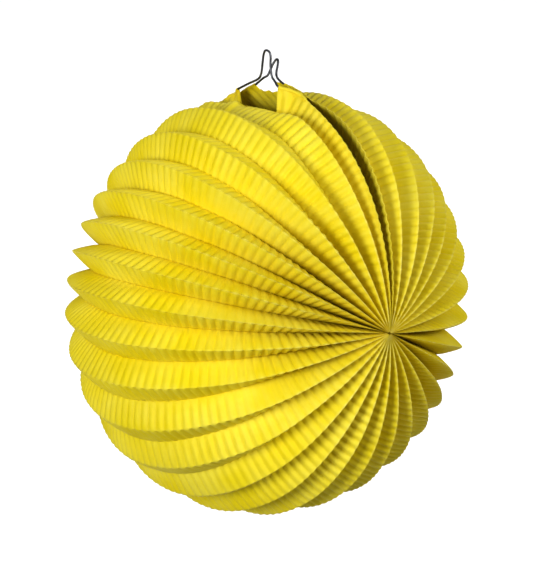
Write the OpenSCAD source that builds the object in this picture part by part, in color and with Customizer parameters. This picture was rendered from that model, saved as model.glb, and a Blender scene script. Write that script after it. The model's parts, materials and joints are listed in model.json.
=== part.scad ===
// Pleated paper ball lantern: a crimped paper strip folded to and fro into deep pleats that run
// from pole to pole, fanned right round to a seam at the top, and hung by two wire bails.
// X runs along the line through the two poles, and Z is up. The origin is where a hook bears in the front bail.
// Angles round the ball are in degrees from upright, growing towards -Y, the front.

/* [Ball] */
// Radius of the ball over its ridges, at its middle
ball_r = 110; // [100:1:120]
// Distance from the middle of the ball to each pole
half_len = 93; // [85:1:100]
// Radius of the core round which the strips' ends gather at each pole
hub_r = 3; // [2.8:0.1:4]

/* [Pleats] */
// Number of whole pleats between the two end leaves
pleats = 30; // [26:1:32]
// Width of a paper strip, from ridge to valley
strip_w = 14.5; // [13.5:0.1:15.5]
// Thickness that the crimped paper takes up
paper_t = 0.9; // [0.5:0.1:1.1]
// Least depth of a pleat that is pulled wide open
least_depth = 6; // [5:0.5:7]

/* [Fan] */
// Angle at which the even spacing of the valleys starts
fan_start = -2.5; // [-3:0.1:-2]
// Angle from there right round to where it ends
fan_angle = 349.9; // [348:0.1:350.5]
// Sine parts, in degrees, of five waves in the pleats' spacing
uneven_sin = [-2.7, 3.3, 1.4, 0.3, 0.4];
// Cosine parts, in degrees, of the same five waves
uneven_cos = [-2.1, 1.9, -1, -0.6, 0.2];

/* [Seam] */
// Angle of the deep valley between the front leaf and the first pleat
front_valley = -0.3; // [-0.6:0.1:0]
// Angle of the valley between the last pleat and the back leaf
back_valley = 346; // [345.5:0.1:346.5]
// Thickness of an end leaf, a strip doubled into a hem
leaf_t = 0.8; // [0.6:0.1:0.9]
// Height by which the front bail pulls its leaf up into a tent
front_lift = 5; // [0:0.5:6]
// Height by which the back bail pulls its leaf up
back_lift = 4; // [0:0.5:5]
// Depth to which the first ridge is pressed in beside the opening
lip_dip = 8; // [6:0.5:8]

/* [Opening] */
// Width of the notch cut in the front leaf
front_notch_w = 30.3; // [28:0.1:31]
// Width of the notch cut in the back leaf
back_notch_w = 17; // [12:0.5:18]
// Height above the ball's middle down to which the front leaf's notch is cut
front_notch_floor = 99.5; // [98:0.5:101]
// The same of the back leaf's notch
back_notch_floor = 106; // [104:0.5:107]

/* [Bails] */
// Diameter of the bails' steel wire
wire_d = 1.2; // [1:0.1:1.4]
// Lean of the back bail away from the front one, as a share of its height
back_lean = 0.42; // [0.2:0.02:0.5]

/* [Pole ties] */
// Radius of the thread ring that holds the strips' ends, to the thread's middle
tie_r = 1.9; // [1.6:0.1:2.1]
// Diameter of its thread
thread_d = 0.9; // [0.7:0.1:1]

/* [Hidden] */
function pleat_name(k) = str("pleat_", k < 10 ? "0" : "", k);

crown = ball_r - hub_r;       // height of the ridge curve over the core
skin_gap = 0.02;              // degrees left free between neighbouring pleats
pleat_step = 6;               // degrees along the meridian from ring to ring of a pleat
leaf_step = 3;                // the same of an end leaf, which has finer curves
most_shift = 0.42;            // largest share of a strip's width that its inner face is set back
most_leaf_angle = 0.8;        // degrees taken up by a leaf's thickness near a pole
front_middle = -1.5;          // place along X of the front bail and the tent it pulls up
back_middle = -7;             // the same of the back bail
front_notch_middle = -7.9;    // place along X of the front leaf's notch
back_notch_middle = -11.8;    // the same of the back leaf's
back_slant = 1.5;             // angle the back leaf takes up over that of an upright leaf
tent_reach = 27;              // distance along X over which a leaf's tent dies away
bearing_z = 129.6;            // height of the front bail's bearing point over the ball's middle
tie_inset = 4;                // distance of the tie inside the pole
wire_sides = 12;

yellow = [0.95, 0.85, 0.1];
hem_yellow = [0.88, 0.76, 0.08];
steel = [0.55, 0.55, 0.57];
thread = [0.93, 0.9, 0.78];

// Eases from 0 at one place to 1 at another
function eased(v, from, to) =
    let (u = min(1, max(0, (v - from) / (to - from))))
    u * u * (3 - 2 * u);

// Sum of the waves at a place t along the fan, counted in pleats
function uneven(t) = [for (m = [0:len(uneven_sin) - 1])
    uneven_sin[m] * sin(360 * (m + 1) * t / pleats)
    + uneven_cos[m] * (cos(360 * (m + 1) * t / pleats) - 1)] * [for (m = uneven_sin) 1];

// Angle round the ball at a place t along the fan: valleys are at whole numbers, ridges halfway
function fan(t) = fan_start + fan_angle * t / pleats + uneven(t);
function valley_angle(j) = j == 0 ? front_valley : j == pleats ? back_valley : fan(j);
function half_pitch(j) =
    j == 0 ? fan(0.5) - front_valley
    : j == pleats ? (back_valley - fan(pleats - 0.5)) * 0.85
    : (fan(j + 0.5) - fan(j - 0.5)) / 2;

// The ridge curve in a meridian plane, as [x, radius], and its outward normal
function ridge_curve(a) = [half_len * sin(a), hub_r + crown * cos(a)];
function curve_normal(a) =
    let (n = [crown * sin(a), half_len * cos(a)])
    n / norm(n);

// Distance across the mouth from a ridge to the next valley
function mouth(a, pitch) = 1.92 * ridge_curve(a)[1] * sin(pitch / 2);

// Depth of valley j below the ridge curve: strips keep their width, so narrow mouths are deep
function valley_depth(j, a) =
    let (m = mouth(a, half_pitch(j)))
    max(least_depth, sqrt(max(0, strip_w * strip_w - m * m)));

// Set-back of the inner face along the normal that gives a strip its thickness
function set_back(a, pitch) = strip_w * min(most_shift, paper_t / mouth(a, pitch));

// The first ridge and the valley after it are pressed in beside the opening, with a step at x = -15
function lip(x) = (0.6 * eased(x, -42, -24) + 0.4 * eased(x, -17, -12)) * (1 - eased(x, 8, 38));
function ridge_dip(k, x) = k == 1 ? lip_dip * lip(x) : 0;
function valley_dip(j, x) = j == 1 ? 0.45 * lip_dip * lip(x) : 0;

function round_ball(c, angle) = [c[0], -c[1] * sin(angle), c[1] * cos(angle)];
function below_ridge(a, depth) = ridge_curve(a) - depth * curve_normal(a);

// Closed solid over rings of points that run from one pole to the other, caps given as triangles
module solid_of_rings(rings, caps) {
    n = len(rings[0]);
    last = len(rings) - 1;
    sides = [for (i = [0:last - 1], j = [0:n - 1], half = [0, 1])
        let (p = i * n + j, q = i * n + (j + 1) % n)
        half == 0 ? [p, q, q + n] : [p, q + n, p + n]];
    start = [for (c = caps) [c[2], c[1], c[0]]];
    finish = [for (c = caps) [c[0] + last * n, c[1] + last * n, c[2] + last * n]];
    polyhedron([for (r = rings) each r], concat(sides, start, finish));
}

// One pleat: its ridge with a half fold on each side, as a thin V bent from pole to pole
module pleat(k) {
    pitch = (valley_angle(k) - valley_angle(k - 1)) / 2;
    color(yellow)
    solid_of_rings(
        [for (a = [-90:pleat_step:90])
            let (
                x = half_len * sin(a),
                inward = set_back(a, pitch),
                left = valley_depth(k - 1, a) + valley_dip(k - 1, x),
                right = valley_depth(k, a) + valley_dip(k, x),
                top = ridge_dip(k, x),
                left_angle = valley_angle(k - 1) + skin_gap,
                right_angle = valley_angle(k) - skin_gap
            )
            [
                round_ball(below_ridge(a, top), fan(k - 0.5)),
                round_ball(below_ridge(a, right), right_angle),
                round_ball(below_ridge(a, right + inward), right_angle),
                round_ball(below_ridge(a, top + inward), fan(k - 0.5)),
                round_ball(below_ridge(a, left + inward), left_angle),
                round_ball(below_ridge(a, left), left_angle)
            ]],
        [[0, 1, 2], [0, 2, 3], [0, 3, 5], [3, 4, 5]]
    );
}

// Angles of the leaves' free edges: near each other at the opening, and apart along the slit
function front_edge(x) =
    let (away = abs(x - front_notch_middle))
    front_valley - 3.3 * eased(away, 15.4, 24.4) + eased(away, 24.4, 51.4);
function back_edge(x) =
    let (away = abs(x - back_middle))
    -4.5 - 0.5 * eased(away, 9, 18) - 4.1 * eased(away, 16, 52);
function tent(x, middle) = max(0, 1 - abs(x - middle) / tent_reach);
function leaf_angle(a) = min(most_leaf_angle, leaf_t / ridge_curve(a)[1] * 180 / PI);

// One end leaf without its notch: a flat strip from a valley out to its free edge.
// side is 1 when the leaf's thickness lies towards larger angles, and -1 when it lies the other way.
// The back leaf slants, so it takes up a larger angle for the same thickness.
module whole_leaf(j, root_angle, middle, lift, side) {
    rings = [for (a = [-90:leaf_step:90])
        let (
            x = half_len * sin(a),
            inner = below_ridge(a, valley_depth(j, a)),
            outer = ridge_curve(a) + [0, lift * tent(x, middle)],
            edge = j == 0 ? front_edge(x) : back_edge(x),
            t = leaf_angle(a) * (side > 0 ? back_slant : -1)
        )
        [
            round_ball(inner, root_angle),
            round_ball(inner, root_angle + t),
            round_ball(outer, edge + t),
            round_ball(outer, edge)
        ]];
    flipped = [for (r = rings) side < 0 ? [r[3], r[2], r[1], r[0]] : r];
    solid_of_rings(flipped, [[0, 1, 2], [0, 2, 3]]);
}

// The notch that a hand, a light and warm air pass through
module notch(middle, width, floor_z) {
    translate([middle - width / 2, -ball_r / 2, floor_z])
    cube([width, ball_r, ball_r]);
}

module end_leaf_front() {
    color(hem_yellow)
    difference() {
        whole_leaf(0, front_valley - skin_gap, front_middle, front_lift, -1);
        notch(front_notch_middle, front_notch_w, front_notch_floor);
    }
}

module end_leaf_back() {
    color(hem_yellow)
    difference() {
        whole_leaf(pleats, back_valley - 360 + skin_gap, back_middle, back_lift, 1);
        notch(back_notch_middle, back_notch_w, back_notch_floor);
    }
}

// A point of a bail's foot, laid along its leaf's free edge at x
function ridge_at(x) = hub_r + crown * sqrt(1 - pow(x / half_len, 2));
function foot(x, middle, lift, angle, t) =
    round_ball([x, ridge_at(x) + lift * tent(x, middle) - wire_d / 6], angle + t);
function front_foot(x) = foot(x, front_middle, front_lift, front_edge(x), 0.1);
function back_foot(x) = foot(x, back_middle, back_lift, back_edge(x), -0.2);

// Loops of the bails over the opening, as [x, height over the ball's middle]
front_loop = [
    [-15.5, 111.2], [-8.2, 114.6], [-5.9, 117.6], [-5, 122], [-4.2, 127], [-3, 129.7], [-1.4, 130.2],
    [0.4, 129.6], [1.4, 127.4], [1.3, 123.5], [1.7, 120], [2.6, 117], [4.8, 115]
];
back_loop = [
    [-13, 113.4], [-10.5, 115], [-9.7, 118], [-9, 121], [-7.8, 123.2], [-6.4, 123.2],
    [-5.4, 121], [-4.9, 118], [-3.9, 115.8], [-1.4, 114.2]
];
front_path = concat(
    [for (x = [-37, -32.5, -28, -23.8]) front_foot(x)],
    [for (p = front_loop) [p[0], 0.6, p[1]]],
    [for (x = [8, 12.5, 17, 21]) front_foot(x)]
);
back_path = concat(
    [for (x = [-35, -30, -25.5, -21]) back_foot(x)],
    [for (p = back_loop) [p[0], 8 + back_lean * (p[1] - 113), p[1]]],
    [for (x = [2.5, 7, 11.5, 16]) back_foot(x)]
);

// Smooth curve through a path's points, with a few steps between each two
function smooth(p, steps = 3) = concat(
    [for (i = [0:len(p) - 2], s = [0:steps - 1])
        let (
            u = s / steps,
            before = p[max(0, i - 1)],
            here = p[i],
            next = p[i + 1],
            after = p[min(len(p) - 1, i + 2)]
        )
        0.5 * (2 * here + u * (next - before)
            + u * u * (2 * before - 5 * here + 4 * next - after)
            + u * u * u * (3 * here - before - 3 * next + after))],
    [p[len(p) - 1]]
);

// Round wire along a smooth curve that stays clear of the Y direction
module wire(path, diameter) {
    p = smooth(path);
    last = len(p) - 1;
    rings = [for (i = [0:last])
        let (
            along = p[min(last, i + 1)] - p[max(0, i - 1)],
            across = cross(along, [0, 1, 0]) / norm(cross(along, [0, 1, 0])),
            aside = cross(across, along) / norm(along)
        )
        [for (s = [0:wire_sides - 1])
            p[i] + diameter / 2 * (cos(360 * s / wire_sides) * across + sin(360 * s / wire_sides) * aside)]];
    solid_of_rings(rings, [for (s = [1:wire_sides - 2]) [0, s, s + 1]]);
}

module bail_front() {
    color(steel)
    wire(front_path, wire_d);
}

module bail_back() {
    color(steel)
    wire(back_path, wire_d);
}

// Ring of thread strung through the ends of the strips, inside the core at a pole
module pole_tie(side) {
    color(thread)
    translate([side * (half_len - tie_inset), 0, 0])
    rotate([0, 90, 0])
    rotate_extrude($fn = 48)
    translate([tie_r, 0])
    circle(d = thread_d, $fn = 24);
}

// Puts a piece, drawn about the ball's middle, where it hangs below the origin
module hung() {
    translate([-front_middle, 0, -bearing_z])
    children();
}

for (k = [1:pleats]) hung() pleat(k);
hung() end_leaf_front();
hung() end_leaf_back();
hung() bail_front();
hung() bail_back();
hung() pole_tie(1);  // near_pole_tie
hung() pole_tie(-1);  // far_pole_tie
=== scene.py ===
import json
import math

import bpy
import numpy as np
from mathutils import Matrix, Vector


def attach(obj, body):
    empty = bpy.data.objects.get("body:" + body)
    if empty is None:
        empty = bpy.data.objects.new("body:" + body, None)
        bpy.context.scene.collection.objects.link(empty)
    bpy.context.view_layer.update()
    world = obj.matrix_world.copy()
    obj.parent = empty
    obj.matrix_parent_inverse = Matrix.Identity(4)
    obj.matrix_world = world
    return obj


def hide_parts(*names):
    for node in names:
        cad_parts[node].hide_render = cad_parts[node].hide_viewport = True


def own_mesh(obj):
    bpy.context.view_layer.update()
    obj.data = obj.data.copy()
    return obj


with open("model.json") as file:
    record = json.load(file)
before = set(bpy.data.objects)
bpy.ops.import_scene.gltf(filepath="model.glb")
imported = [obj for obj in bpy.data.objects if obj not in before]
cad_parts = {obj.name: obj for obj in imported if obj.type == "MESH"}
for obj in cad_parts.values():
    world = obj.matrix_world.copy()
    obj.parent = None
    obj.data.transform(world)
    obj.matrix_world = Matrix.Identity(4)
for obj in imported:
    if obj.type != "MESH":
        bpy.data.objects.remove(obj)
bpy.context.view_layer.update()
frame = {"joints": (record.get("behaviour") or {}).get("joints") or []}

# ---------------------------------------------------------------------------
# The lantern's plan, in millimetres about the ball's middle, as the CAD has it.
# X runs from pole to pole, Z is up, and angles round the ball are counted from
# upright towards -Y.
# ---------------------------------------------------------------------------
BALL_R = 110.0                  # over the ridges
HALF_LEN = 93.0                 # from the middle to a pole
HUB_R = 3.0                     # radius that the strips' ends keep at the poles
CROWN = BALL_R - HUB_R
PLEATS = 30
STRIP_W = 14.5                  # width of one strip, from valley to ridge
LEAST_DEPTH = 6.0               # least depth of a valley under the ridges
STRIP_R = 0.96                  # a strip's mean radius, against its ridge's
FAN_START = -2.5                # angle at which the fan starts
FAN_ANGLE = 349.9               # angle that the fan takes up
UNEVEN_SIN = (-2.7, 3.3, 1.4, 0.3, 0.4)       # waves in the pleats' spacing, in degrees
UNEVEN_COS = (-2.1, 1.9, -1.0, -0.6, 0.2)
FRONT_VALLEY = -0.3             # angles of the first and last valley
BACK_VALLEY = 346.0
LAST_PITCH = 0.85               # the last valley's pitch against its plain angle, which deepens it
SKIN_GAP = 0.02                 # angle left free beside each valley
LEAF_T = 0.8                    # thickness of a leaf's hem
MOST_LEAF_ANGLE = 0.8           # most angle that a leaf's thickness takes up
BACK_SLANT = 1.5                # angle that the slanting back leaf takes up over an upright one's
FRONT_MIDDLE = -1.5             # x of the peaks that the bails pull up in the leaves
BACK_MIDDLE = -7.0
FRONT_LIFT = 5.0                # height of those peaks
BACK_LIFT = 4.0
TENT_REACH = 27.0               # distance over which a peak falls away
LIP_DIP = 8.0                   # depth to which the first ridge is pressed in
VALLEY_DIP = 0.45               # the same of the valley after it, against the ridge's
LIP_STEPS = ((0.6, -42, -24), (0.4, -17, -12))     # where the dip grows: share, and x from and to
LIP_END = (8, 38)               # where it dies away
FRONT_NOTCH = (-23.05, 7.25)    # x of each notch's two sides
BACK_NOTCH = (-20.3, -3.3)
FRONT_FLOOR = 99.5              # height of each notch's floor
BACK_FLOOR = 106.0
# turns of the leaves' free edges: degrees, and the distances at which each turn starts and ends,
# from the middle of the front notch and from the back leaf's peak
FRONT_EDGE_STEPS = ((-3.3, 15.4, 24.4), (1.0, 24.4, 51.4))
BACK_EDGE = -4.5                # angle of the back leaf's edge at its peak
BACK_EDGE_STEPS = ((-0.5, 9, 18), (-4.1, 16, 52))
WIRE_D = 1.2
BACK_LEAN = 0.42                # how far the back bail leans, to each mm of height
TIE_R = 1.9                     # thread rings, and their distance from the poles
TIE_INSET = 4.0

# ---------------------------------------------------------------------------
# What the paper has beyond the CAD
# ---------------------------------------------------------------------------
SHEET_T = 0.32          # thickness of the crimped paper
CRIMPS = 63             # crimps from pole to pole
RINGS = 12              # mesh rings to one crimp
CRIMP_H = 0.64          # height of a crimp either side of the strip's middle plane
CRIMP_GROWTH = 0.12     # most height of a crimp to each mm between a ridge and its valley
CRIMP_FOOT = 0.22       # share of a strip's width over which its crimps grow, from the valley
CRIMP_TOP = 0.1         # the same from the ridge
FOLD_TEETH = 0.16       # most that the crimps move a fold along the ball's normal
WANDER = 0.4            # how far a fold strays from its smooth line
EDGE_WANDER = 0.25      # the same of a leaf's free edge
BOW = 0.3               # bulge of a strip between its folds
CREST_DROP = 0.22       # ridges lie this far under the CAD's, which leaves room for the crimps
MOST_SHIFT = 0.3        # largest share of a strip's width that its inner face is set back
ACROSS = (0.0, 0.06, 0.25, 0.5, 0.75, 0.93, 1.0)      # mesh points across a strip
LEAF_ACROSS = (0.0, 0.06, 0.25, 0.5, 0.72, 0.8, 0.84, 1.0)
LEAF_CRIMP = 0.8        # height of a leaf's crimps against a pleat's
LEAST_CRIMP = 0.02      # added to them, so that some height is left at the poles
HEM_START = 0.82        # share of a leaf's width at which its doubled hem starts
HEM_FLAT = 0.35         # how much lower the hem's crimps are
SHEET_SHARE = 0.38      # shares of a leaf's thickness that its sheet and its hem have
HEM_SHARE = 0.62
NOTCH_CUT = 0.12        # half the width of the step at a notch's side
PINCH_R = 8.0           # radius under which the strips' tips are drawn in at the poles
PINCH = 2.0             # how far they are drawn in
PINCH_X = 88.5          # x at which that begins, and the length over which it grows
PINCH_GROWTH = 2.5
SLEEVE_T = 0.3          # thickness of the hem round a bail's foot
SLEEVE_CRIMP = 0.08     # height of that hem's crimps
SLEEVE_END = 2.0        # length of its closed end beyond the wire
SLEEVE_TAPER = (0.4, 0.65, 0.85)      # radii of that end against the rest's
TUBE_TIP = 0.35         # length of a tube's domed end against its radius
TUBE_TIP_R = 0.55       # and the radius that the end is left with
WIRE_STEPS = 7          # steps between two points of a bail's path
FOOT_STEPS = 22         # steps of that path that lie in a hem
THREAD_R = 0.24         # one strand of the pole ties
TWIST_R = 0.21          # distance of each strand from the twisted thread's middle
TWISTS = 22             # turns of the strands round each other in one ring

MM = 0.001
fan_joint = next(j for j in frame["joints"] if j["name"] == "fan_fold")
CENTRE = np.array(fan_joint["pos_m"], float)


def metres(points):
    """Points in millimetres about the ball's middle, as metres in the shared frame."""
    return np.asarray(points, float) * MM + CENTRE


def eased(v, start, end):
    """Soft rise from 0 at start to 1 at end."""
    u = np.clip((v - start) / (end - start), 0.0, 1.0)
    return u * u * (3 - 2 * u)


def stepped(v, base, steps):
    """The base with soft steps added, each given as its height and where it starts and ends."""
    return sum((height * eased(v, start, end) for height, start, end in steps), base)


def fan(t):
    """Angle round the ball at place t along the fan: valleys at whole numbers, ridges halfway."""
    waves = 0.0
    for m in range(len(UNEVEN_SIN)):
        turn = math.radians(360.0 * (m + 1) * t / PLEATS)
        waves += UNEVEN_SIN[m] * math.sin(turn) + UNEVEN_COS[m] * (math.cos(turn) - 1)
    return FAN_START + FAN_ANGLE * t / PLEATS + waves


def valley_angle(j):
    """Angle round the ball of valley j."""
    if j == 0:
        return FRONT_VALLEY
    return BACK_VALLEY if j == PLEATS else fan(j)


def half_pitch(j):
    """Angle between valley j and the ridges beside it."""
    if j == 0:
        return fan(0.5) - FRONT_VALLEY
    if j == PLEATS:
        return (BACK_VALLEY - fan(PLEATS - 0.5)) * LAST_PITCH
    return (fan(j + 0.5) - fan(j - 0.5)) / 2


def ridge_curve(a):
    """The ridge curve in a meridian plane, as [x, radius], at angle a in radians."""
    return np.stack([HALF_LEN * np.sin(a), HUB_R + CROWN * np.cos(a)], -1)


def curve_normal(a):
    """Its outward normal."""
    n = np.stack([CROWN * np.sin(a), HALF_LEN * np.cos(a)], -1)
    return n / np.linalg.norm(n, axis=-1, keepdims=True)


def mouth(a, pitch):
    """Distance across the mouth from a ridge to the next valley, pitch degrees apart."""
    return 2 * STRIP_R * ridge_curve(a)[..., 1] * math.sin(math.radians(pitch) / 2)


def opened(a, pitch, full):
    """0 where ridge and valley meet, growing to 1 where they lie the full distance apart."""
    return np.minimum(1.0, mouth(a, pitch) / full)


def valley_depth(j, a):
    """Depth of valley j below the ridge curve: strips keep their width, so narrow mouths are deep."""
    m = mouth(a, half_pitch(j))
    return np.maximum(LEAST_DEPTH, np.sqrt(np.maximum(0, STRIP_W ** 2 - m * m)))


def lip(x):
    """How much of the dip the first ridge has beside the opening, from 0 to 1."""
    return stepped(x, 0, LIP_STEPS) * (1 - eased(x, *LIP_END))


def round_ball(c, angle):
    """Meridian points [x, radius] turned to an angle in degrees."""
    t = np.radians(angle)
    return np.stack([c[..., 0], -c[..., 1] * np.sin(t), c[..., 1] * np.cos(t)], -1)


def front_edge(x):
    """Angle of the front leaf's free edge."""
    return stepped(np.abs(x - sum(FRONT_NOTCH) / 2), FRONT_VALLEY, FRONT_EDGE_STEPS)


def back_edge(x):
    """Angle of the back leaf's free edge."""
    return stepped(np.abs(x - BACK_MIDDLE), BACK_EDGE, BACK_EDGE_STEPS)


def tent(x, middle):
    """Shape of the peak that a bail pulls up in its leaf, from 0 to 1."""
    return np.maximum(0, 1 - np.abs(x - middle) / TENT_REACH)


# ---------------------------------------------------------------------------
# Crimps: rings at even steps of length along the ridge curve
# ---------------------------------------------------------------------------
fine = np.linspace(-math.pi / 2, math.pi / 2, 4001)
steps = np.linalg.norm(np.diff(ridge_curve(fine), axis=0), axis=1)
length_at = np.concatenate([[0.0], np.cumsum(steps)])
ARC = length_at[-1]
CRIMP_LENGTH = ARC / CRIMPS


def rings_with(extra_x=()):
    """Ring angles along the meridian. Given places x get a ring each, in place of those beside it."""
    even = np.interp(np.linspace(0, ARC, CRIMPS * RINGS + 1), length_at, fine)
    extra = np.arcsin(np.array(extra_x, float) / HALF_LEN)
    if len(extra):
        even = even[np.min(np.abs(even[:, None] - extra[None, :]), axis=1) > 1.5e-3]
    return np.sort(np.concatenate([even, extra]))


def crimp_wave(a):
    """Height of the crimps, from -1 to 1: broad rounded crests and narrow grooves."""
    turn = 2 * math.pi * np.interp(a, fine, length_at) / CRIMP_LENGTH
    # the spacing drifts a little along the meridian
    turn = turn + (0.35 * np.sin(3.1 * a + 0.6) + 0.2 * np.sin(11 * a))
    # a plain wave, mixed with one that has sharp grooves
    smooth = np.cos(turn)
    grooved = 2.0 * np.abs(np.cos(turn / 2)) ** 0.9 - 1.0
    return 0.45 * smooth + 0.55 * grooved


def slow_waves(seed, a):
    """Small slow wander of one fold, from about -1 to 1."""
    rng = np.random.default_rng(seed)
    total = 0
    for n in (2.0, 4.5, 8.0, 13.0):
        total = total + rng.normal() * np.sin(n * a + rng.uniform(0, 6.28)) / math.sqrt(n)
    return total / 1.6


def crimp_height(a, pitch):
    """Height of the crimps at angle a, lower where the folds close up."""
    return np.minimum(CRIMP_H, CRIMP_GROWTH * mouth(a, pitch))


def fold_shift(a, pitch):
    """How far the crimps move a fold along the ball's normal."""
    reach = np.minimum(crimp_height(a, pitch) / opened(a, pitch, full=STRIP_W), FOLD_TEETH)
    return reach * opened(a, pitch, full=9.0) * crimp_wave(a)


def pinched(c):
    """The [x, radius] points of a fold, drawn in at the poles, which only the ridges reach."""
    inward = np.clip((PINCH_R - c[:, 1]) / (PINCH_R - HUB_R), 0, 1) ** 1.5
    outward = np.clip((np.abs(c[:, 0]) - PINCH_X) / PINCH_GROWTH, 0, 1)
    return np.stack([c[:, 0], c[:, 1] - PINCH * inward * outward], -1)


def fold_line(a, base_depth, angle, pitch, seed):
    """One fold of the paper, as [x, radius] points and angles: crimped, and wandering a little."""
    wander = WANDER * opened(a, pitch, full=6.0)
    out = fold_shift(a, pitch) + wander * slow_waves(seed, a)
    c = ridge_curve(a) + (out - base_depth)[:, None] * curve_normal(a)
    aside = wander * slow_waves(seed + 500, a)
    return pinched(c), angle + np.degrees(aside / np.maximum(c[:, 1], 8.0))


# ---------------------------------------------------------------------------
# Meshes from grids
# ---------------------------------------------------------------------------
def build_mesh(name, verts, faces, smooth_under=60.0):
    """New object from points in metres, smooth where faces meet at less than the angle."""
    mesh = bpy.data.meshes.new(name)
    mesh.from_pydata([tuple(v) for v in verts], [], faces)
    mesh.update()
    mesh.polygons.foreach_set("use_smooth", [True] * len(mesh.polygons))
    mesh.set_sharp_from_angle(angle=math.radians(smooth_under))
    piece = bpy.data.objects.new(name, mesh)
    bpy.context.scene.collection.objects.link(piece)
    return piece


def set_values(piece, **values):
    """Gives each point of a piece its numbers for the paper material."""
    for key, data in values.items():
        layer = piece.data.attributes.new(key, "FLOAT", "POINT")
        layer.data.foreach_set("value", np.asarray(data, np.float32))


def shell_faces(rows, cols):
    """Faces of a closed shell: an outer grid, then an inner grid, and the edges between them."""
    count = rows * cols
    grid = np.arange(count).reshape(rows, cols)
    p, q = grid[:-1, :-1], grid[:-1, 1:]
    r, s = grid[1:, 1:], grid[1:, :-1]
    outer = np.stack([p, s, r, q], -1).reshape(-1, 4)
    inner = np.stack([p, q, r, s], -1).reshape(-1, 4) + count
    rim = np.concatenate([grid[:, 0], grid[-1, 1:], grid[::-1, -1][1:], grid[0, ::-1][1:-1]])
    after = np.roll(rim, -1)
    edge = np.stack([rim, rim + count, after + count, after], -1)
    return np.concatenate([outer, inner, edge]).tolist()


def between(lower, upper, u):
    """Points of a strip at shares u of the way from its lower to its upper line."""
    return lower[:, None, :] * (1 - u[..., None]) + upper[:, None, :] * u[..., None]


def strip_normal(lower, upper):
    """Unit normal of the strip between two lines, for each pair of their points."""
    along = np.gradient((lower + upper) / 2, axis=0)
    normal = np.cross(along, upper - lower)
    return normal / np.maximum(np.linalg.norm(normal, axis=-1, keepdims=True), 1e-9)


def strip_points(lower, upper, a, pitch, seed, sign):
    """Points across one strip between two fold lines, in rows. Crimps stand along the strip's own
    normal, added to what the folds have of them. sign turns the normal outwards."""
    u = np.array(ACROSS)
    on_folds = fold_shift(a, pitch) * opened(a, pitch, full=STRIP_W)
    crimps = crimp_height(a, pitch) * crimp_wave(a) - on_folds
    # crimps are pressed unevenly, from 0.3 to 1.15 of their height
    crimps = crimps * np.clip(0.85 + 0.4 * slow_waves(seed, a), 0.3, 1.15)
    grown = np.minimum(1.0, u / CRIMP_FOOT) * np.minimum(1.0, (1 - u) / CRIMP_TOP)
    bow = BOW * opened(a, pitch, full=9.0)
    lift = crimps[:, None] * grown[None, :] + bow[:, None] * np.sin(math.pi * u)[None, :]
    normal = strip_normal(lower, upper) * sign
    return between(lower, upper, u[None, :]) + lift[..., None] * normal[:, None, :]


def add_pleat(k):
    """Pleat k: the two strips from one valley over its ridge to the next valley."""
    a = rings_with()
    x = HALF_LEN * np.sin(a)
    pitch = (valley_angle(k) - valley_angle(k - 1)) / 2
    dip = LIP_DIP * lip(x)
    folds = []
    for j, gap in ((k - 1, SKIN_GAP), (k, -SKIN_GAP)):
        depth = valley_depth(j, a) + (VALLEY_DIP * dip if j == 1 else 0)
        folds.append(fold_line(a, depth, valley_angle(j) + gap, half_pitch(j), 100 + j))
    drop = CREST_DROP * opened(a, pitch, full=4.0)
    ridge = fold_line(a, drop + (dip if k == 1 else 0), fan(k - 0.5), pitch, 200 + k)
    left, top, right = (round_ball(*f) for f in (folds[0], ridge, folds[1]))
    one = strip_points(left, top, a, pitch, 300 + 2 * k, sign=-1.0)
    two = strip_points(right, top, a, pitch, 301 + 2 * k, sign=1.0)[:, ::-1]
    outer = np.concatenate([one, two[:, 1:]], axis=1)
    # the inner face is set back along the ball's normal
    thick = STRIP_W * np.minimum(MOST_SHIFT, SHEET_T / mouth(a, pitch))
    n = curve_normal(a)
    angles = np.radians(np.linspace(folds[0][1], folds[1][1], outer.shape[1]).T)
    inward = np.stack([
        np.broadcast_to(n[:, :1], angles.shape),
        -n[:, 1:] * np.sin(angles),
        n[:, 1:] * np.cos(angles),
    ], -1) * thick[:, None, None]
    inner = outer - inward
    rows, cols = outer.shape[:2]
    verts = metres(np.concatenate([outer.reshape(-1, 3), inner.reshape(-1, 3)]))
    piece = build_mesh(f"paper_pleat_{k:02d}", verts, shell_faces(rows, cols))
    # 1 where the folds crowd together towards the poles; it sets where the paper's painted shade and
    # painted highlight are strongest
    crowded = np.clip(1.5 - mouth(a, pitch) / 6, 0, 1)
    set_values(
        piece,
        fold_height=np.tile(ACROSS + ACROSS[-2::-1], 2 * rows),
        crimp_height=np.tile(np.repeat(crimp_wave(a), cols), 2),
        gathered=np.tile(np.repeat(crowded, cols), 2),
    )
    return piece


paper_pieces = []
for k in range(1, PLEATS + 1):
    piece = add_pleat(k)
    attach(piece, f"fold_{k:02d}")
    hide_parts(f"pleat_{k:02d}")
    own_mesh(piece)
    paper_pieces.append(piece)


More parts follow.
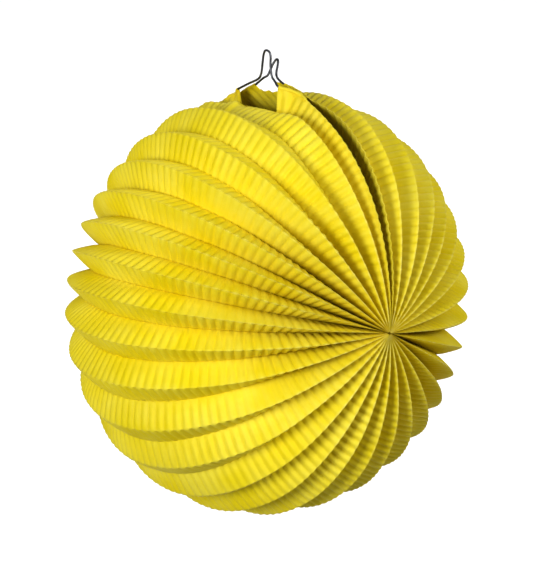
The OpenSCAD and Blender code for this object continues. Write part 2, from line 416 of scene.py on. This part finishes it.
# ---------------------------------------------------------------------------
# End leaves: one strip each, with a doubled free edge and a notch at the top
# ---------------------------------------------------------------------------
def add_leaf(name, j, root_angle, middle, lift, edge, side, sides, floor_z):
    """One end leaf, from its root fold to its free edge. side is -1 in front of the slot, 1 behind."""
    a = rings_with([x + step for x in sides for step in (-NOTCH_CUT, NOTCH_CUT)])
    x = HALF_LEN * np.sin(a)
    pitch = half_pitch(j)
    root_c, root_t = fold_line(a, valley_depth(j, a), root_angle, pitch, 100 + j)
    tip_c = pinched(ridge_curve(a) + np.stack([0 * x, lift * tent(x, middle)], -1))
    aside = EDGE_WANDER * opened(a, pitch, full=4.0) * slow_waves(900 + j, a)
    tip_t = edge(x) + np.degrees(aside / np.maximum(tip_c[:, 1], 8.0))
    angle = np.minimum(MOST_LEAF_ANGLE, np.degrees(LEAF_T / ridge_curve(a)[:, 1]))
    angle = angle * (BACK_SLANT if side > 0 else -1)
    lower, upper = round_ball(root_c, root_t), round_ball(tip_c, tip_t)
    notched = (x > sides[0]) & (x < sides[1])
    reach = np.where(notched, (floor_z - lower[:, 2]) / (upper[:, 2] - lower[:, 2]), 1.0)
    u = reach[:, None] * np.array(LEAF_ACROSS)[None, :]
    hem = u > HEM_START
    height = np.minimum(CRIMP_H * LEAF_CRIMP, CRIMP_GROWTH * mouth(a, pitch) + LEAST_CRIMP)
    crimps = (height * crimp_wave(a))[:, None] * np.minimum(1.0, u / CRIMP_FOOT) * (1 - HEM_FLAT * hem)
    face = between(lower, upper, u) + crimps[..., None] * strip_normal(lower, upper)[:, None, :]
    # the sheet's other face lies a little way round the ball, further where the hem is doubled
    turn = np.radians(angle)[:, None] * np.where(hem, HEM_SHARE, SHEET_SHARE)
    y, z = face[..., 1], face[..., 2]
    other = np.stack([
        face[..., 0],
        y * np.cos(turn) - z * np.sin(turn),
        z * np.cos(turn) + y * np.sin(turn),
    ], -1)
    outer, inner = (face, other) if side > 0 else (other, face)
    rows, cols = u.shape
    verts = metres(np.concatenate([outer.reshape(-1, 3), inner.reshape(-1, 3)]))
    piece = build_mesh(name, verts, shell_faces(rows, cols))
    set_values(
        piece,
        fold_height=np.tile(u.reshape(-1), 2),
        crimp_height=np.tile(np.repeat(crimp_wave(a), cols), 2),
        gathered=np.zeros(2 * rows * cols),
    )
    return piece


leaf_front = add_leaf(
    "paper_leaf_front", 0, FRONT_VALLEY - SKIN_GAP, FRONT_MIDDLE, FRONT_LIFT, front_edge,
    -1, FRONT_NOTCH, FRONT_FLOOR,
)
leaf_back = add_leaf(
    "paper_leaf_back", PLEATS, BACK_VALLEY - 360 + SKIN_GAP, BACK_MIDDLE, BACK_LIFT, back_edge,
    1, BACK_NOTCH, BACK_FLOOR,
)
for piece, body, cad_node in (
    (leaf_front, "front_leaf", "end_leaf_front"),
    (leaf_back, "back_leaf", "end_leaf_back"),
):
    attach(piece, body)
    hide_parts(cad_node)


# ---------------------------------------------------------------------------
# Bails: bent spring wire
# ---------------------------------------------------------------------------
def ridge_at(x):
    """Radius of the ridge curve at x."""
    return HUB_R + CROWN * math.sqrt(1 - (x / HALF_LEN) ** 2)


def foot(places, middle, lift, edge, aside):
    """Points of a bail's foot at the given x, in its leaf's free edge, some degrees to one side."""
    points = []
    for x in places:
        c = np.array([x, ridge_at(x) + lift * float(tent(x, middle)) - WIRE_D / 6])
        points.append(round_ball(c, float(edge(x)) + aside))
    return points


# [x, z] of the bends of each loop
FRONT_LOOP = (
    (-15.5, 111.2), (-8.2, 114.6), (-5.9, 117.6), (-5, 122), (-4.2, 127), (-3, 129.7), (-1.4, 130.2),
    (0.4, 129.6), (1.4, 127.4), (1.3, 123.5), (1.7, 120), (2.6, 117), (4.8, 115),
)
BACK_LOOP = (
    (-13, 113.4), (-10.5, 115), (-9.7, 118), (-9, 121), (-7.8, 123.2), (-6.4, 123.2),
    (-5.4, 121), (-4.9, 118), (-3.9, 115.8), (-1.4, 114.2),
)
FRONT_LOOP_Y = 0.6
BACK_LOOP_Y = 8              # where the leaning back loop stands at the height BACK_LOOP_Z
BACK_LOOP_Z = 113
# the peak and the edge that each bail's feet follow, and how far to one side, in degrees
FRONT_FOOT = (FRONT_MIDDLE, FRONT_LIFT, front_edge, 0.1)
BACK_FOOT = (BACK_MIDDLE, BACK_LIFT, back_edge, -0.2)
front_path = np.array(
    foot((-37, -32.5, -28, -23.8), *FRONT_FOOT)
    + [np.array([x, FRONT_LOOP_Y, z]) for x, z in FRONT_LOOP]
    + foot((8, 12.5, 17, 21), *FRONT_FOOT)
)
back_path = np.array(
    foot((-35, -30, -25.5, -21), *BACK_FOOT)
    + [np.array([x, BACK_LOOP_Y + BACK_LEAN * (z - BACK_LOOP_Z), z]) for x, z in BACK_LOOP]
    + foot((2.5, 7, 11.5, 16), *BACK_FOOT)
)


def smooth_path(p, count):
    """The CAD's smooth curve through the points, with a number of steps between each two."""
    out = []
    for i in range(len(p) - 1):
        b, h, n, f = p[max(0, i - 1)], p[i], p[i + 1], p[min(len(p) - 1, i + 2)]
        for s in range(count):
            u = s / count
            out.append(0.5 * (
                2 * h + u * (n - b) + u * u * (2 * b - 5 * h + 4 * n - f)
                + u ** 3 * (3 * h - b - 3 * n + f)))
    out.append(p[-1])
    return np.array(out)


def past_end(end, before, distance):
    """Point at a distance past the end of a path, in line with the point before the end."""
    return end + (end - before) / np.linalg.norm(end - before) * distance


def add_tube(name, path, radius, sides=20, closed=False, radii=None):
    """Round tube along a path, with domed ends unless it is closed on itself."""
    path = np.asarray(path, float)
    radii = np.full(len(path), radius) if radii is None else np.asarray(radii, float)
    if not closed:
        start = past_end(path[0], path[1], radius * TUBE_TIP)
        end = past_end(path[-1], path[-2], radius * TUBE_TIP)
        path = np.concatenate([[start], path, [end]])
        radii = np.concatenate([[radii[0] * TUBE_TIP_R], radii, [radii[-1] * TUBE_TIP_R]])
    if closed:
        tangent = np.roll(path, -1, 0) - np.roll(path, 1, 0)
    else:
        tangent = np.gradient(path, axis=0)
    tangent /= np.linalg.norm(tangent, axis=1, keepdims=True)
    # the first ring is set up from a direction that no path starts in, and carried along the path
    side = np.cross(tangent[0], [0.2, 1.0, 0.1])
    side /= np.linalg.norm(side)
    frames = []
    for t in tangent:
        side = side - t * (side @ t)
        side /= np.linalg.norm(side)
        frames.append(side)
    frames = np.array(frames)
    other = np.cross(tangent, frames)
    turn = np.linspace(0, 2 * math.pi, sides, endpoint=False)
    ring = (
        frames[:, None, :] * np.cos(turn)[None, :, None]
        + other[:, None, :] * np.sin(turn)[None, :, None]
    )
    verts = path[:, None, :] + ring * radii[:, None, None]
    n, m = verts.shape[:2]
    faces = []
    for i in range(n if closed else n - 1):
        for s in range(m):
            p, q = i * m + s, i * m + (s + 1) % m
            r, t = ((i + 1) % n) * m + (s + 1) % m, ((i + 1) % n) * m + s
            faces.append((p, q, r, t))
    if not closed:
        faces.append(tuple(range(m))[::-1])
        faces.append(tuple((n - 1) * m + s for s in range(m)))
    return build_mesh(name, metres(verts.reshape(-1, 3)), faces, 50.0)


wire_pieces = []
for name, path, body, cad_node in (
    ("wire_bail_front", front_path, "front_leaf", "bail_front"),
    ("wire_bail_back", back_path, "back_leaf", "bail_back"),
):
    piece = add_tube(name, smooth_path(path, WIRE_STEPS), WIRE_D / 2)
    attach(piece, body)
    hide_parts(cad_node)
    wire_pieces.append(piece)


def add_sleeve(name, path, body, cad_node):
    """Crimped paper of a hem, wrapped round the foot of a bail that lies along the path."""
    beyond = past_end(path[0], path[1], SLEEVE_END)
    path = np.concatenate([[beyond, (2 * beyond + path[0]) / 3, (beyond + 2 * path[0]) / 3], path])
    a = np.arcsin(np.clip(path[:, 0] / HALF_LEN, -1, 1))
    radii = WIRE_D / 2 + SLEEVE_T + SLEEVE_CRIMP * crimp_wave(a)
    radii[:3] *= SLEEVE_TAPER
    piece = add_tube(name, path, WIRE_D / 2, 16, radii=radii)
    # the same all over, as between the crests and grooves of a hem
    even = np.ones(len(piece.data.vertices))
    set_values(piece, fold_height=0.9 * even, crimp_height=0.3 * even, gathered=0 * even)
    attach(piece, body)
    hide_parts(cad_node)
    return piece


sleeves = []
for name, path, body, cad_node in (
    ("front", smooth_path(front_path, WIRE_STEPS), "front_leaf", "end_leaf_front"),
    ("back", smooth_path(back_path, WIRE_STEPS), "back_leaf", "end_leaf_back"),
):
    sleeves.append(add_sleeve(f"paper_sleeve_{name}_left", path[:FOOT_STEPS], body, cad_node))
    sleeves.append(add_sleeve(f"paper_sleeve_{name}_right", path[::-1][:FOOT_STEPS], body, cad_node))


# ---------------------------------------------------------------------------
# Ties: two twisted strands of thread round the strips' ends at each pole
# ---------------------------------------------------------------------------
def twisted_ring(x, strand, sign):
    """Path of one of the two strands of a pole tie, as a ring at x."""
    turn = np.linspace(0, 2 * math.pi, 360, endpoint=False)
    twist = TWISTS * turn + math.pi * strand
    r = TIE_R + TWIST_R * np.cos(twist)
    return np.stack([x + TWIST_R * np.sin(twist) * sign, r * np.sin(turn), r * np.cos(turn)], -1)


tie_pieces = []
for name, sign, cad_node in (("near", 1, "near_pole_tie"), ("far", -1, "far_pole_tie")):
    x = sign * (HALF_LEN - TIE_INSET)
    for strand in (0, 1):
        ring = twisted_ring(x, strand, sign)
        piece = add_tube(f"thread_{name}_strand_{strand + 1}", ring, THREAD_R, 10, True)
        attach(piece, "front_leaf")
        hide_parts(cad_node)
        tie_pieces.append(piece)


# ---------------------------------------------------------------------------
# Materials
# ---------------------------------------------------------------------------
def new_material(name):
    """New material, its node tree and its shader node."""
    mat = bpy.data.materials.new(name)
    mat.use_nodes = True
    tree = mat.node_tree
    shader = next(n for n in tree.nodes if n.type == "BSDF_PRINCIPLED")
    return mat, tree, shader


def node(tree, kind, inputs=None, **settings):
    """New node with its settings, and its inputs linked or set to a value."""
    n = tree.nodes.new(kind)
    for key, value in settings.items():
        setattr(n, key, value)
    for key, value in (inputs or {}).items():
        if isinstance(value, bpy.types.NodeSocket):
            tree.links.new(value, n.inputs[key])
        else:
            n.inputs[key].default_value = value
    return n


def noise(tree, where, scale, detail=3.0, rough=0.5, stretch=None):
    """Noise over the object's own coordinates, from 0 to 1."""
    vector = where
    if stretch:
        mapping = node(tree, "ShaderNodeMapping", {"Vector": where, "Scale": stretch})
        vector = mapping.outputs["Vector"]
    n = node(tree, "ShaderNodeTexNoise", {
        "Vector": vector, "Scale": scale, "Detail": detail, "Roughness": rough})
    return n.outputs["Fac"]


def spread(tree, value, low, high, to_low=0.0, to_high=1.0):
    """The value's range from low to high, spread over the second range."""
    n = node(tree, "ShaderNodeMapRange", {
        "Value": value, "From Min": low, "From Max": high, "To Min": to_low, "To Max": to_high})
    return n.outputs["Result"]


def mixed(tree, factor, one, two):
    """Colour between two colours. The node's colour sockets are numbers 6 and 7 in and 2 out."""
    n = node(
        tree, "ShaderNodeMix", {0: factor, 6: one, 7: two}, data_type="RGBA", clamp_result=False)
    return n.outputs[2]


def linear(r, g, b):
    """A display colour of 0 to 255 as a linear colour."""
    out = []
    for v in (r, g, b):
        c = v / 255
        out.append(c / 12.92 if c <= 0.04045 else ((c + 0.055) / 1.055) ** 2.4)
    return (*out, 1.0)


def times(tree, one, two):
    """Product of two values."""
    return node(tree, "ShaderNodeMath", {0: one, 1: two}, operation="MULTIPLY").outputs[0]


def paper_material(name, main, deep, painted_highlight, painted_shade, grain):
    """Dyed paper, with painted shade that deepens the crimps' grooves and darkens the valleys where
    the strips are gathered, and a painted highlight that lightens the ridges.
    """
    mat, tree, shader = new_material(name)
    where = node(tree, "ShaderNodeTexCoord").outputs["Object"]
    height = node(tree, "ShaderNodeAttribute", attribute_name="fold_height").outputs["Fac"]
    wave = node(tree, "ShaderNodeAttribute", attribute_name="crimp_height").outputs["Fac"]
    clouds = noise(tree, where, 38.0, 4.0, 0.55)
    fibres = noise(tree, where, 1400.0, 5.0, 0.7)
    mottle = noise(tree, where, 320.0, 4.0, 0.6)
    colour = mixed(tree, spread(tree, clouds, 0.35, 0.65), main, deep)
    colour = mixed(tree, spread(tree, mottle, 0.45, 0.75, 0.0, 0.35), colour, deep)
    # painted shade: the colour goes deeper in the grooves of the crimps, where shade falls
    colour = mixed(tree, spread(tree, wave, -0.2, -1.0, 0.0, 0.45), colour, deep)
    # painted shade darkens the valleys where the strips are gathered towards the poles; a patchy
    # painted highlight lightens the ridges, a little everywhere and most there
    gathered = node(tree, "ShaderNodeAttribute", attribute_name="gathered").outputs["Fac"]
    groove = times(tree, gathered, spread(tree, height, 0.88, 0.3))
    colour = mixed(tree, spread(tree, groove, 0.0, 1.0, 0.0, 0.5), colour, painted_shade)
    edge = times(tree, spread(tree, height, 0.92, 1.0), spread(tree, mottle, 0.3, 0.6))
    painted_ridge_highlight = times(tree, edge, spread(tree, gathered, 0.0, 1.0, 0.1, 0.95))
    colour = mixed(tree, painted_ridge_highlight, colour, painted_highlight)
    tree.links.new(colour, shader.inputs["Base Color"])
    rough = spread(tree, fibres, 0.3, 0.7, 0.52, 0.72)
    tree.links.new(rough, shader.inputs["Roughness"])
    shader.inputs["Specular IOR Level"].default_value = 0.2
    bump = node(tree, "ShaderNodeBump", {
        "Height": fibres, "Strength": grain, "Distance": 0.00008})
    soft = node(tree, "ShaderNodeBump", {
        "Height": mottle, "Strength": 0.35, "Distance": 0.0003, "Normal": bump.outputs["Normal"]})
    tree.links.new(soft.outputs["Normal"], shader.inputs["Normal"])
    return mat


# the paper's colours: the deep yellow is also painted shade in the crimps' grooves; the last two
# colours are a painted highlight on the ridges and painted shade in the gathered valleys
crimped_paper = paper_material(
    "crimped_yellow_paper", main=linear(252, 235, 64), deep=linear(246, 224, 12),
    painted_highlight=linear(253, 241, 120), painted_shade=linear(140, 112, 4), grain=0.5,
)
leaf_paper = paper_material(
    "hemmed_yellow_paper", main=linear(250, 232, 64), deep=linear(242, 218, 22),
    painted_highlight=linear(252, 242, 140), painted_shade=linear(160, 130, 10), grain=0.6,
)
for piece in paper_pieces:
    piece.data.materials.append(crimped_paper)
for piece in (leaf_front, leaf_back, *sleeves):
    piece.data.materials.append(leaf_paper)


def wire_material():
    """Grey spring wire with stains and fine streaks."""
    mat, tree, shader = new_material("spring_wire")
    where = node(tree, "ShaderNodeTexCoord").outputs["Object"]
    drawn = noise(tree, where, 900.0, 3.0, 0.6, (1.0, 1.0, 0.15))
    stains = noise(tree, where, 260.0, 4.0, 0.6)
    colour = mixed(tree, spread(tree, stains, 0.4, 0.7), linear(104, 106, 112), linear(62, 62, 66))
    tree.links.new(colour, shader.inputs["Base Color"])
    shader.inputs["Metallic"].default_value = 1.0
    tree.links.new(spread(tree, drawn, 0.3, 0.7, 0.34, 0.5), shader.inputs["Roughness"])
    bump = node(tree, "ShaderNodeBump", {"Height": drawn, "Strength": 0.3, "Distance": 0.00005})
    tree.links.new(bump.outputs["Normal"], shader.inputs["Normal"])
    return mat


def thread_material():
    """Fuzzy yellowish cotton."""
    mat, tree, shader = new_material("cotton_thread")
    where = node(tree, "ShaderNodeTexCoord").outputs["Object"]
    fuzz = noise(tree, where, 2600.0, 4.0, 0.7)
    colour = mixed(tree, spread(tree, fuzz, 0.35, 0.7), linear(208, 184, 92), linear(172, 146, 58))
    tree.links.new(colour, shader.inputs["Base Color"])
    shader.inputs["Roughness"].default_value = 0.85
    shader.inputs["Sheen Weight"].default_value = 0.2
    bump = node(tree, "ShaderNodeBump", {"Height": fuzz, "Strength": 0.7, "Distance": 0.0001})
    tree.links.new(bump.outputs["Normal"], shader.inputs["Normal"])
    return mat


wire = wire_material()
for piece in wire_pieces:
    piece.data.materials.append(wire)
thread = thread_material()
for piece in tie_pieces:
    piece.data.materials.append(thread)


# ---------------------------------------------------------------------------
# Floor, light and camera, in metres and degrees
# ---------------------------------------------------------------------------
CAMERA_AZIMUTH = 49.1
CAMERA_ELEVATION = 13.0
CAMERA_DISTANCE = 2.5        # from the point looked at
VIEW_HEIGHT = 0.292520       # height that the frame takes in at the ball
AIM_ASIDE = 0.000307         # the point looked at, right of and above the ball's middle
AIM_ABOVE = 0.008094
SENSOR = 36                  # millimetres, along the frame's long side, its height
LAMP_DISTANCE = 1.6          # of the lights on the lantern from its middle
FLOOR_LIGHT_BEHIND = 4.6     # the floor light's place from the ball's middle
FLOOR_LIGHT_ABOVE = 3.5
FLOOR_DROP = 1.0             # floor below the ball's middle
FLOOR_NEAR = -4.0            # the floor's ends, along the line of sight
FLOOR_FAR = 8.0
FLOOR_HALF_W = 6.0
BEND_R = 1.2                 # radius of the bend up to the wall
BEND_STEPS = 12
WALL_TOP = 4.0


def add_stage():
    """Pale floor that bends up to a wall behind the lantern."""
    floor_z = float(CENTRE[2]) - FLOOR_DROP
    profile = [(FLOOR_NEAR, 0.0), (FLOOR_FAR, 0.0)]
    for i in range(1, BEND_STEPS + 1):
        t = math.radians(90 * i / BEND_STEPS)
        profile.append((FLOOR_FAR + BEND_R * math.sin(t), BEND_R - BEND_R * math.cos(t)))
    profile.append((FLOOR_FAR + BEND_R, WALL_TOP))
    azimuth = math.radians(CAMERA_AZIMUTH)
    back = np.array([-math.sin(azimuth), math.cos(azimuth)])
    aside = np.array([math.cos(azimuth), math.sin(azimuth)])
    verts = []
    for d, z in profile:
        for w in (-FLOOR_HALF_W, FLOOR_HALF_W):
            at = back * d + aside * w
            verts.append((at[0], at[1], floor_z + z))
    faces = [(2 * i, 2 * i + 1, 2 * i + 3, 2 * i + 2) for i in range(len(profile) - 1)]
    floor = build_mesh("floor", verts, faces)
    mat, tree, shader = new_material("pale_floor")
    where = node(tree, "ShaderNodeTexCoord").outputs["Object"]
    tone = noise(tree, where, 3.0, 3.0, 0.5)
    colour = mixed(tree, spread(tree, tone, 0.3, 0.7), (0.93, 0.93, 0.93, 1), (0.9, 0.9, 0.9, 1))
    tree.links.new(colour, shader.inputs["Base Color"])
    shader.inputs["Roughness"].default_value = 0.9
    shader.inputs["Specular IOR Level"].default_value = 0.1
    floor.data.materials.append(mat)


def add_camera():
    """The camera, at the photograph's viewing angle. Returns its right, up and backward directions."""
    az, el = math.radians(CAMERA_AZIMUTH), math.radians(CAMERA_ELEVATION)
    back = Vector((math.sin(az) * math.cos(el), -math.cos(az) * math.cos(el), math.sin(el)))
    right = Vector((math.cos(az), math.sin(az), 0))
    up = back.cross(right)
    aim = Vector(CENTRE) + right * AIM_ASIDE + up * AIM_ABOVE
    data = bpy.data.cameras.new("camera")
    cam = bpy.data.objects.new("camera", data)
    bpy.context.scene.collection.objects.link(cam)
    cam.location = aim + back * CAMERA_DISTANCE
    cam.rotation_mode = "QUATERNION"
    cam.rotation_quaternion = (-back).to_track_quat("-Z", "Y")
    data.sensor_width = SENSOR
    data.lens = SENSOR * CAMERA_DISTANCE / VIEW_HEIGHT
    data.clip_start, data.clip_end = 0.05, 30
    data.dof.use_dof = False
    bpy.context.scene.camera = cam
    return right, up, back


CAM_RIGHT, CAM_UP, CAM_BACK = add_camera()
add_stage()


def add_disk_light(name, place, size, power, cone):
    """Soft round light, shining straight down unless it is turned."""
    data = bpy.data.lights.new(name, "AREA")
    data.shape = "DISK"
    data.size = size
    data.energy = power
    data.spread = math.radians(cone)
    lamp = bpy.data.objects.new(name, data)
    bpy.context.scene.collection.objects.link(lamp)
    lamp.location = place
    return lamp


def add_light(name, along, size, power, cone):
    """Light aimed at the ball. along is its direction from there, as right, up and to the camera."""
    direction = (CAM_RIGHT * along[0] + CAM_UP * along[1] + CAM_BACK * along[2]).normalized()
    lamp = add_disk_light(name, Vector(CENTRE) + direction * LAMP_DISTANCE, size, power, cone)
    lamp.rotation_mode = "QUATERNION"
    lamp.rotation_quaternion = (-direction).to_track_quat("-Z", "Y")


def add_floor_light(size, power, cone):
    """Wide light over the floor and wall behind the lantern."""
    flat = Vector((CAM_BACK.x, CAM_BACK.y, 0)).normalized()
    place = Vector(CENTRE) - flat * FLOOR_LIGHT_BEHIND + Vector((0, 0, FLOOR_LIGHT_ABOVE))
    add_disk_light("floor_light", place, size, power, cone)


add_light("key", (-0.5, 0.0, 1.0), size=0.6, power=2.12, cone=60)
add_light("side", (0.7, 0.3, 0.7), size=0.6, power=1.4, cone=60)
add_floor_light(size=6.0, power=185, cone=110)

world = bpy.data.worlds.new("studio")
bpy.context.scene.world = world
world.use_nodes = True
sky = next(n for n in world.node_tree.nodes if n.type == "BACKGROUND")
sky.inputs["Color"].default_value = (1.0, 1.0, 1.0, 1.0)
sky.inputs["Strength"].default_value = 0.08

view = bpy.context.scene.view_settings
view.view_transform = "Standard"
view.look = "None"
view.exposure = 0.0
view.gamma = 1.0
